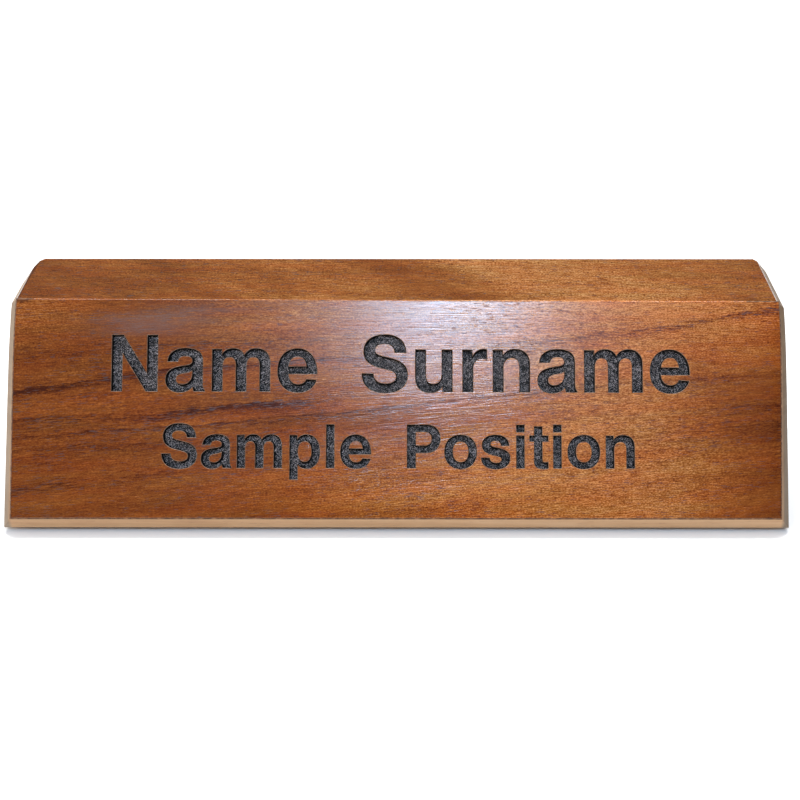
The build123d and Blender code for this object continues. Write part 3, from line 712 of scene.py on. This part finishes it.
def contours(ch, x0, em, base, per_curve=11):
    """The letter's outlines as closed rings of points with the ink on the left."""
    k = em / 1000
    rings = []
    for number, steps in enumerate(LETTERS[ch][1]):
        ring, here = [], None
        for step in steps:
            pts = [Vector((x0 + step[i] * k, base + step[i + 1] * k)) for i in range(1, len(step), 2)]
            if step[0] == "M":
                here = pts[0]
                ring.append(here)
            elif step[0] == "L":
                long = (pts[0] - here).length
                n = max(1, round(long / 1.5))
                ring += [here.lerp(pts[0], i / n) for i in range(1, n + 1)]
                here = pts[0]
            else:
                a, b, c = pts
                for i in range(1, per_curve + 1):
                    t = i / per_curve
                    u = 1 - t
                    ring.append(here * u**3 + a * 3 * u * u * t + b * 3 * u * t * t + c * t**3)
                here = c
        ring = ring[:-1]
        area = sum(p.x * q.y - q.x * p.y for p, q in zip(ring, ring[1:] + ring[:1]))
        hole = number > 0 and ch != "i"
        if (area < 0) != hole:
            ring.reverse()
        rings.append([(p.x, p.y) for p in ring])
    return rings


def widen(ring, by):
    """The ring moved away from its ink."""
    out = []
    n = len(ring)
    for i in range(n):
        a, b, c = (Vector(ring[(i + k) % n]) for k in (-1, 0, 1))
        u, w = (b - a).normalized(), (c - b).normalized()
        na, nb = Vector((u.y, -u.x)), Vector((w.y, -w.x))
        m = na + nb
        m = m.normalized() if m.length > 1e-6 else na
        reach = by / max(0.35, m.dot(na))
        out.append((b.x + m.x * reach, b.y + m.y * reach))
    return out


def set_line(words, cap, gap, base, offset):
    em = cap / 0.718
    pen, spots = 0.0, []
    for ch in words:
        if ch == " ":
            pen += gap * em
            continue
        spots.append((ch, pen))
        pen += LETTERS[ch][0] / 1000 * em
    first, last = LETTERS[words[0]][1][0], LETTERS[words[-1]][1][0]
    left = spots[0][1] + min(p[-2] for p in first) * em / 1000
    right = spots[-1][1] + max(p[-2] for p in last) * em / 1000
    shift = -(left + right) / 2 + offset
    return [contours(ch, x + shift, em, base) for ch, x in spots]


TEXT = {}
for piece, words, cap, gap, base, offset in LINES:
    TEXT[piece] = set_line(words, cap, gap, base, offset)
ALL_LETTERS = [letter for line in TEXT.values() for letter in line]


def inside(points, rings):
    """Even-odd test of many points against a letter's rings."""
    p = np.asarray(points, float)
    odd = np.zeros(len(p), bool)
    for ring in rings:
        a = np.asarray(ring, float)
        b = np.roll(a, -1, axis=0)
        for (x1, y1), (x2, y2) in zip(a, b):
            if y1 == y2:
                continue
            cross = (y1 > p[:, 1]) != (y2 > p[:, 1])
            xi = (x2 - x1) * (p[:, 1] - y1) / (y2 - y1) + x1
            odd ^= cross & (p[:, 0] < xi)
    return odd


def clear_of(points, rings, gap):
    """Which points are further than gap from every ring point."""
    p = np.asarray(points, float)
    q = np.concatenate([np.asarray(r, float) for r in rings])
    ok = np.ones(len(p), bool)
    for i in range(0, len(p), 2000):
        part = p[i:i + 2000]
        ok[i:i + 2000] = (((part[:, None, :] - q[None]) ** 2).sum(2).min(1)) > gap * gap
    return ok


def triangulate(rings, extra):
    """Constrained triangles through the rings' points and the extra ones. Returns points, triangles, and for each
    ring the numbers of its points."""
    pts, edges, where = [], [], []
    for ring in rings:
        start = len(pts)
        pts += [Vector(p) for p in ring]
        n = len(ring)
        edges += [(start + i, start + (i + 1) % n) for i in range(n)]
        where.append(range(start, start + n))
    pts += [Vector(p) for p in extra]
    out, _, faces, origin, _, _ = geometry.delaunay_2d_cdt(pts, edges, [], 0, 1e-6)
    back = {}
    for i, src in enumerate(origin):
        for s in src:
            back[s] = i
    return [tuple(p) for p in out], [tuple(f) for f in faces], [[back[i] for i in w] for w in where]


def wind(points, face, normal):
    """The face's points in the order that makes it look along normal."""
    a, b, c = (Vector(points[i]) for i in face[:3])
    return face if (b - a).cross(c - a).dot(Vector(normal)) > 0 else face[::-1]


# ---- front veneer -------------------------------------------------------------------------------------------
def eased(edge, slope, radius, d):
    """Where the plate's edge is at depth d: rounded from the face into a bevel that moves out by slope per mm."""
    turn = math.pi / 2 if slope == 0 else math.atan2(1, slope)
    if d < radius * (1 - math.cos(turn)):
        return edge - radius * math.tan(turn / 2) + math.sqrt(max(0, 2 * radius * d - d * d))
    return edge + slope * d


DEPTHS = (0.0, 0.008, 0.022, 0.045, 0.08, 0.158, VENEER)


ALONG, UP = 46, 16
RIDGE_SIDE = (ALONG + UP, 2 * ALONG + UP)


def frame_ring(d):
    """The plate's outline at depth d, anticlockwise, with points along its sides."""
    cut = eased(0.0, 1.0, SHEET_EASE, d)
    low = -eased(-(foot_a - 0.25), 1.0, SHEET_EASE, d)
    high = eased(slant, SL / CL, RIDGE_EASE, d)

    def side(s, v):
        w1, w2 = (2.42, 1.88) if s < 0 else (2.72, 1.85)
        return s * (HALF - w1 + (w1 - w2) * (v - foot_a) / (slant - foot_a) + cut)

    nx, nv = ALONG, UP
    a, b, c, e = side(-1, low), side(1, low), side(1, high), side(-1, high)
    ring = [(a + (b - a) * i / nx, low) for i in range(nx)]
    ring += [(b + (c - b) * i / nv, low + (high - low) * i / nv) for i in range(nv)]
    ring += [(c + (e - c) * i / nx, high) for i in range(nx)]
    ring += [(e + (a - e) * i / nv, high - (high - low) * i / nv) for i in range(nv)]
    return ring


def build_front():
    verts, faces, slots = [], [], []
    out_normal = (0, -CL, SL)
    rims = [[widen(r, RIM) for r in letter] for letter in ALL_LETTERS]
    grid = [(-102.5 + 5.0 * i + (1.2 if j % 2 else 0), 8.0 + 4.4 * j) for i in range(42) for j in range(13)]
    rim_rings = [r for letter in rims for r in letter]
    wall_rings = [r for letter in ALL_LETTERS for r in letter]
    grid = [p for p, ok in zip(grid, clear_of(grid, rim_rings, 1.0)) if ok and abs(p[0]) < 104]

    def sheet(outer, rings, letters, depth, normal):
        pts, tris, where = triangulate([outer] + rings, grid)
        centres = np.array([[sum(pts[i][k] for i in t) / 3 for k in (0, 1)] for t in tris])
        ink = np.zeros(len(tris), bool)
        for letter in letters:
            allp = np.concatenate([np.asarray(r) for r in letter])
            lo, hi = allp.min(0), allp.max(0)
            near = np.all((centres > lo) & (centres < hi), axis=1)
            if near.any():
                idx = np.nonzero(near)[0]
                ink[idx] |= inside(centres[idx], letter)
        out_box = np.asarray(outer)
        lo, hi = out_box.min(0), out_box.max(0)
        ok = np.all((centres > lo) & (centres < hi), axis=1) & ~ink
        start = len(verts)
        verts.extend(on_face(p[0], p[1], depth) for p in pts)
        for t, use in zip(tris, ok):
            if use:
                faces.append(wind(verts, tuple(i + start for i in t), normal))
                slots.append(0)
        return [[i + start for i in w] for w in where]

    top = sheet(frame_ring(0.0), rim_rings, rims, 0.0, out_normal)
    bottom = sheet(frame_ring(VENEER), wall_rings, ALL_LETTERS, VENEER, tuple(-c for c in out_normal))
    # outside edge
    rings = [top[0]]
    for d in DEPTHS[1:-1]:
        start = len(verts)
        verts.extend(on_face(x, v, d) for x, v in frame_ring(d))
        rings.append(list(range(start, start + len(top[0]))))
    rings.append(bottom[0])
    for level, (a, b) in enumerate(zip(rings, rings[1:])):
        n = len(a)
        for i in range(n):
            j = (i + 1) % n
            faces.append((a[i], b[i], b[j], a[j]))
            # the worn ridge is lacquered like the face, except at its chipped ends
            ridge = RIDGE_SIDE[0] <= i < RIDGE_SIDE[1] and abs(verts[a[i]][0]) < 99
            slots.append(3 if level >= 2 and not ridge else 0)
    # letter openings: a broken edge, then the wall
    for number, ring in enumerate(wall_rings):
        a, c = top[number + 1], bottom[number + 1]
        start = len(verts)
        verts.extend(on_face(x, v, RIM) for x, v in ring)
        b = list(range(start, start + len(ring)))
        for upper, low, slot in ((a, b, 1), (b, c, 2)):
            n = len(ring)
            for i in range(n):
                j = (i + 1) % n
                faces.append((upper[i], upper[j], low[j], low[i]))
                slots.append(slot)
    return verts, faces, slots


def tidy(data):
    """Merges nothing, but turns every face of a closed shell outwards and drops unused points."""
    verts, faces, slots = data
    bm = bmesh.new()
    vs = [bm.verts.new(v) for v in verts]
    for f, s in zip(faces, slots):
        try:
            face = bm.faces.new([vs[i] for i in f])
            face.material_index = s
        except ValueError:
            pass
    bmesh.ops.delete(bm, geom=[v for v in bm.verts if not v.link_faces], context="VERTS")
    bmesh.ops.recalc_face_normals(bm, faces=bm.faces)
    return bm


front = store("front_sheet", tidy(build_front()), [M_FRONT, M_CUT, M_STAIN, M_EDGE], smooth_angle=30)
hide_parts("front_veneer")

top_bm = solid(ENVELOPE + [flip(lower_by(TOPF, VENEER)), lower_by(FACE, VENEER)])
top_sheet = store("top_sheet", top_bm, [M_TOP])
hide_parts("top_veneer")

back_bm = solid(ENVELOPE + [lower_by(TOPF, VENEER), flip(lower_by(REAR, VENEER))])
back_sheet = store("back_sheet", back_bm, [M_BACK])
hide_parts("back_veneer")


# ---- core boards with pockets ---------------------------------------------------------------------------------
def prisms(letters, near, far):
    """Closed prisms of the letters between two depths."""
    bm = bmesh.new()
    for letter in letters:
        pts, tris, where = triangulate(letter, [])
        centres = np.array([[sum(pts[i][k] for i in t) / 3 for k in (0, 1)] for t in tris])
        ok = inside(centres, letter)
        levels = []
        for d in (near, far):
            vs = [bm.verts.new(on_face(p[0], p[1], d)) for p in pts]
            levels.append(vs)
            for t, use in zip(tris, ok):
                if use:
                    bm.faces.new([vs[i] for i in t])
        for ring in where:
            n = len(ring)
            for i in range(n):
                j = (i + 1) % n
                bm.faces.new((levels[0][ring[i]], levels[0][ring[j]], levels[1][ring[j]], levels[1][ring[i]]))
    bmesh.ops.delete(bm, geom=[v for v in bm.verts if not v.link_faces], context="VERTS")
    bmesh.ops.recalc_face_normals(bm, faces=bm.faces)
    return bm


def pocketed(bm, letters):
    """The solid with the letters cut into it."""
    me = bpy.data.meshes.new("scratch")
    bm.to_mesh(me)
    bm.free()
    cm = bpy.data.meshes.new("scratch_cutter")
    cutter_bm = prisms(letters, 0.05, ENGRAVE_DEPTH)
    cutter_bm.to_mesh(cm)
    cutter_bm.free()
    body = bpy.data.objects.new("scratch", me)
    cutter = bpy.data.objects.new("scratch_cutter", cm)
    for o in (body, cutter):
        bpy.context.scene.collection.objects.link(o)
    mod = body.modifiers.new("cut", "BOOLEAN")
    mod.operation, mod.solver, mod.object = "DIFFERENCE", "EXACT", cutter
    cut = bpy.data.meshes.new_from_object(body.evaluated_get(bpy.context.evaluated_depsgraph_get()))
    out = bmesh.new()
    out.from_mesh(cut)
    for o in (body, cutter):
        bpy.data.objects.remove(o)
    for m in (me, cm, cut):
        bpy.data.meshes.remove(m)
    n = Vector((0, -CL, SL))
    surface = n.dot(Vector(on_face(0, slant)))
    for f in out.faces:
        c = f.calc_center_median()
        depth = surface - n.dot(c)
        f.material_index = int(VENEER + 0.02 < depth < ENGRAVE_DEPTH + 0.05 and abs(c.x) < 92
                               and 10 < (c.y - Y0) * SL + (c.z - Z0) * CL < 60)
    return out


SEAM = plane((0, 0, 1), (0, 0, Z0 + BOARD))
core = ENVELOPE + [lower_by(FACE, VENEER), lower_by(TOPF, VENEER), lower_by(REAR, VENEER)]
for piece, node, limit, line, mat in (
    ("lower_board", "core_lower_board", SEAM, "title", M_LOWER),
    ("upper_board", "core_upper_board", flip(SEAM), "name", M_UPPER),
):
    board = store(piece, pocketed(solid(core + [limit]), TEXT[line]), [mat, M_STAIN], smooth_angle=30)
    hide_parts(node)


# ---- paint in the letters -------------------------------------------------------------------------------------
def painted_wall_shade(points, tri, edge):
    """0 on the open paint, 1 in the strip of painted shade against the walls, widest at the left and the top."""
    wall = [points[i] for i in tri if i in edge]
    free = [points[i] for i in tri if i not in edge]
    if not wall:
        return 0
    if not free:
        return 1
    du = sum(p[0] for p in wall) / len(wall) - sum(p[0] for p in free) / len(free)
    dv = sum(p[1] for p in wall) / len(wall) - sum(p[1] for p in free) / len(free)
    if du < -0.5 * abs(dv) or dv > abs(du):
        return 1
    return 1 if len(wall) > 1 else 0


def build_paint(letters):
    verts, faces, slots = [], [], []
    normal = (0, -CL, SL)
    for letter in letters:
        parts = [[r] for r in letter] if len(letter) == 2 and not inside([letter[1][0]], [letter[0]])[0] else [letter]
        for rings in parts:
            allp = np.concatenate([np.asarray(r) for r in rings])
            lo, hi = allp.min(0), allp.max(0)
            step = 0.30
            pts = []
            v = lo[1]
            while v < hi[1]:
                u = lo[0]
                while u < hi[0]:
                    pts.append((u + random.uniform(-0.11, 0.11), v + random.uniform(-0.11, 0.11)))
                    u += step
                v += step * 0.87
            pts = np.array(pts)
            keep = inside(pts, rings)
            pts = pts[keep]
            pts = pts[clear_of(pts, rings, 0.16)]
            out, tris, where = triangulate(rings, [tuple(p) for p in pts])
            edge = set(i for w in where for i in w)
            centres = np.array([[sum(out[i][k] for i in t) / 3 for k in (0, 1)] for t in tris])
            ok = inside(centres, rings)
            start = len(verts)
            for i, p in enumerate(out):
                if i in edge:
                    d = ENGRAVE_DEPTH - PAINT
                else:
                    n = noise.noise(Vector((p[0] / 0.55, p[1] / 0.55, 3.0)))
                    m = noise.noise(Vector((p[0] / 0.24, p[1] / 0.24, 9.0)))
                    d = ENGRAVE_DEPTH - PAINT + 0.085 * n + 0.075 * m + random.uniform(-0.035, 0.035)
                verts.append(on_face(p[0], p[1], d))
            for t, use in zip(tris, ok):
                if use:
                    faces.append(wind(verts, tuple(i + start for i in t), normal))
                    # triangles against the walls take the darker copy of the paint: painted shade
                    slots.append(painted_wall_shade(out, t, edge))
            base_pts, base_tris, base_where = triangulate(rings, [])
            base_c = np.array([[sum(base_pts[i][k] for i in t) / 3 for k in (0, 1)] for t in base_tris])
            base_ok = inside(base_c, rings)
            b0 = len(verts)
            verts.extend(on_face(p[0], p[1], ENGRAVE_DEPTH) for p in base_pts)
            for t, use in zip(base_tris, base_ok):
                if use:
                    faces.append(wind(verts, tuple(i + b0 for i in t), tuple(-c for c in normal)))
                    slots.append(0)
            for wa, wb in zip(where, base_where):
                n = len(wa)
                for i in range(n):
                    j = (i + 1) % n
                    faces.append((wa[i] + start, wb[i] + b0, wb[j] + b0, wa[j] + start))
                    slots.append(0)
    return verts, faces, slots


for piece, node in (("name", "name_line_paint"), ("title", "title_line_paint")):
    fill = store(piece + "_paint_fill", tidy(build_paint(TEXT[piece])), [M_PAINT, M_PAINT_SHADE], smooth_angle=75, weighted=False)
    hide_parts(node)


# ---- felt pad -------------------------------------------------------------------------------------------------
def build_felt():
    y1 = Y0 + foot_b + FELT_INSET
    y2 = Y0 + BASE_DEPTH - BEVEL - FELT_INSET
    half_x = HALF - FELT_INSET
    cy, half_y = (y1 + y2) / 2, (y2 - y1) / 2

    def ring(inset, z, wave):
        r = max(FELT_CORNER - inset, 0.5)
        hx, hy = half_x - inset, half_y - inset
        pts = []
        for sx, sy, a0 in ((1, 1, 0), (-1, 1, 90), (-1, -1, 180), (1, -1, 270)):
            for i in range(7):
                a = math.radians(a0 + 15 * i)
                pts.append((sx * (hx - r) + r * math.cos(a), sy * (hy - r) + r * math.sin(a)))
        # points along the sides
        full = []
        for (ax, ay), (bx, by) in zip(pts, pts[1:] + pts[:1]):
            n = max(1, round(math.hypot(bx - ax, by - ay) / 2.0))
            full += [(ax + (bx - ax) * i / n, ay + (by - ay) * i / n) for i in range(n)]
        out = []
        for x, y in full:
            k = noise.noise(Vector((x / 2.3, y / 2.3, z * 3))) * wave
            h = math.hypot(x, y)
            out.append((x * (1 - (abs(k)) / h), cy + y * (1 - (abs(k)) / h), z))
        return out

    # every level has the same number of points, so the levels are made on one set of fractions
    levels = [(1.0, 0.05, 0.0), (0.25, 0.02, 0.1), (0.05, 0.25, 0.2), (0.0, 0.6, 0.2), (0.06, 1.0, 0.2), (0.25, 1.18, 0.1),
              (1.0, 1.2, 0.0)]
    base = ring(0.0, 0.6, 0.0)
    verts, faces = [], []
    rings = []
    for inset, z, wave in levels:
        start = len(verts)
        for x, y, _ in base:
            yy = y - cy
            n = Vector((0.0, 0.0))
            qx, qy = max(abs(x) - (half_x - FELT_CORNER), 0), max(abs(yy) - (half_y - FELT_CORNER), 0)
            n = Vector((math.copysign(qx, x), math.copysign(qy, yy)))
            n = n.normalized() if n.length > 1e-6 else Vector((0, 0))
            k = abs(noise.noise(Vector((x / 2.1, yy / 2.1, z * 2)))) * wave
            verts.append((x - n.x * (inset + k), y - n.y * (inset + k), z))
        rings.append(list(range(start, len(verts))))
    for a, b in zip(rings, rings[1:]):
        n = len(a)
        for i in range(n):
            j = (i + 1) % n
            faces.append((a[i], a[j], b[j], b[i]))
    grid = [(-101.0 + 2.5 * i, cy - 22.0 + 2.4 * j) for i in range(82) for j in range(19)]
    for ring_ids, z, normal in ((rings[0], 0.05, (0, 0, -1)), (rings[-1], 1.2, (0, 0, 1))):
        outer = [(verts[i][0], verts[i][1]) for i in ring_ids]
        ok = inside(grid, [outer]) & clear_of(grid, [outer], 1.0)
        pts, tris, where = triangulate([outer], [p for p, k in zip(grid, ok) if k])
        index = {w: r for w, r in zip(where[0], ring_ids)}
        for i, p in enumerate(pts):
            if i not in index:
                index[i] = len(verts)
                lift = 0.05 * abs(noise.noise(Vector((p[0] / 6, p[1] / 6, 1.0)))) if z < 1 else 0.0
                verts.append((p[0], p[1], z - 0.05 + lift if z < 1 else z))
        centres = np.array([[sum(pts[i][k] for i in t) / 3 for k in (0, 1)] for t in tris])
        ok = inside(centres, [outer])
        for t, use in zip(tris, ok):
            if use:
                faces.append(wind(verts, tuple(index[i] for i in t), normal))
    return verts, faces, [0] * len(faces)


pad = store("felt_pad", tidy(build_felt()), [M_FELT], smooth_angle=60, weighted=False)
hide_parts("felt_base_pad")

# ---- floor, light and camera ------------------------------------------------------------------------------------
g = Graph("pale_floor")
speckle = g.noise(g.position(), 3.0, 0.5, scale=40.0)
floor_mat = g.finish(g.mix(speckle, (0.90, 0.90, 0.90), (0.93, 0.93, 0.93)), 0.9, Specular_IOR_Level=0.0)
me = bpy.data.meshes.new("floor")
me.from_pydata([(-7, -7, -0.00002), (7, -7, -0.00002), (7, 7, -0.00002), (-7, 7, -0.00002)], [], [(0, 1, 2, 3)])
me.materials.append(floor_mat)
floor = bpy.data.objects.new("floor", me)
bpy.context.scene.collection.objects.link(floor)

SKY_LOW, SKY_HIGH = 1.00, 1.14
world = bpy.data.worlds.new("studio")
bpy.context.scene.world = world
world.use_nodes = True
wt = world.node_tree
wt.nodes.clear()
tc = wt.nodes.new("ShaderNodeTexCoord")


def wnode(kind, **inputs):
    n = wt.nodes.new(kind)
    return n


def wmath(op, a, b=None, c=None):
    n = wt.nodes.new("ShaderNodeMath")
    n.operation = op
    for i, v in enumerate((a, b, c)):
        if isinstance(v, bpy.types.NodeSocket):
            wt.links.new(v, n.inputs[i])
        elif v is not None:
            n.inputs[i].default_value = v
    return n.outputs[0]


def wdot(direction):
    n = wt.nodes.new("ShaderNodeVectorMath")
    n.operation = "DOT_PRODUCT"
    wt.links.new(tc.outputs["Generated"], n.inputs[0])
    n.inputs[1].default_value = direction
    return n.outputs["Value"]


def wspan(v, a, b, c, d):
    n = wt.nodes.new("ShaderNodeMapRange")
    n.interpolation_type = "SMOOTHSTEP"
    wt.links.new(v, n.inputs[0])
    for i, k in enumerate((a, b, c, d)):
        n.inputs[i + 1].default_value = k
    return n.outputs[0]


def toward(azimuth, elevation):
    """Unit direction: azimuth from -Y (the front) towards +X, elevation above the floor, in degrees."""
    a, e = math.radians(azimuth), math.radians(elevation)
    return (math.sin(a) * math.cos(e), -math.cos(a) * math.cos(e), math.sin(e))


def deg(angle):
    return math.cos(math.radians(angle))


sky = wspan(wdot((0, 0, 1)), 0.0, 0.9, SKY_LOW, SKY_HIGH)
sky = wmath("MULTIPLY", sky, wspan(wdot(toward(2, 38)), deg(34), deg(21), 1.0, 0.05))
sky = wmath("MULTIPLY", sky, wspan(wdot(toward(180, 24)), deg(42), deg(18), 1.0, 0.08))
sky = wmath("MULTIPLY", sky, wmath("MULTIPLY_ADD", wdot((1, 0, 0)), -0.20, 1.0))
sky = wmath("MULTIPLY", sky, wspan(wdot(toward(62, 8)), deg(55), deg(25), 1.0, 0.15))
sky = wmath("MULTIPLY", sky, wspan(wdot(toward(-62, 10)), deg(50), deg(20), 1.0, 1.35))
bg = wt.nodes.new("ShaderNodeBackground")
bg.inputs["Color"].default_value = (1.0, 0.96, 0.92, 1)
wt.links.new(sky, bg.inputs["Strength"])
wo = wt.nodes.new("ShaderNodeOutputWorld")
wt.links.new(bg.outputs[0], wo.inputs[0])


def area_light(name, at, aim, size, power, colour, size_y=None):
    data = bpy.data.lights.new(name, "AREA")
    data.shape = "RECTANGLE" if size_y else "SQUARE"
    data.size = size
    if size_y:
        data.size_y = size_y
    data.energy = power
    data.color = colour
    ob = bpy.data.objects.new(name, data)
    ob.location = at
    ob.rotation_euler = (Vector(aim) - Vector(at)).to_track_quat("-Z", "Y").to_euler()
    bpy.context.scene.collection.objects.link(ob)
    return ob


# the small key sits where the front face mirrors it just above the ridge, and a strip behind the block lights the
# floor so that the block's own shadow fades out a few millimetres in front of it
area_light("key", (0.0175, -0.569, 0.622), (0.014, 0.006, 0.0615), 0.10, 2.4, (0.49, 0.72, 1.0), 0.10)
back_el = math.radians(61.1)
area_light("rear_strip", (0, 2.0 * math.cos(back_el), 2.0 * math.sin(back_el)), (0, 0, 0), 1.7, 46.0,
           (1.0, 0.985, 0.97), 0.36)

cam_data = bpy.data.cameras.new("camera")
cam_data.sensor_width = 36.0
cam_data.lens = 36.0 * 1450 / 800
cam_data.shift_x = 0.5 - 428.12 / 800
cam_data.clip_start, cam_data.clip_end = 0.01, 60.0
cam = bpy.data.objects.new("camera", cam_data)
cam.location = (0.009139, (-330.203 + Y0) / 1000, (222.133 + Z0) / 1000)
cam.rotation_euler = (math.pi / 2 - 0.4995, 0.0, 0.0013)
bpy.context.scene.collection.objects.link(cam)
bpy.context.scene.camera = cam
bpy.context.scene.view_settings.view_transform = "Standard"
bpy.context.scene.view_settings.look = "None"
bpy.context.scene.view_settings.exposure = 0.0
bpy.context.scene.view_settings.gamma = 1.0
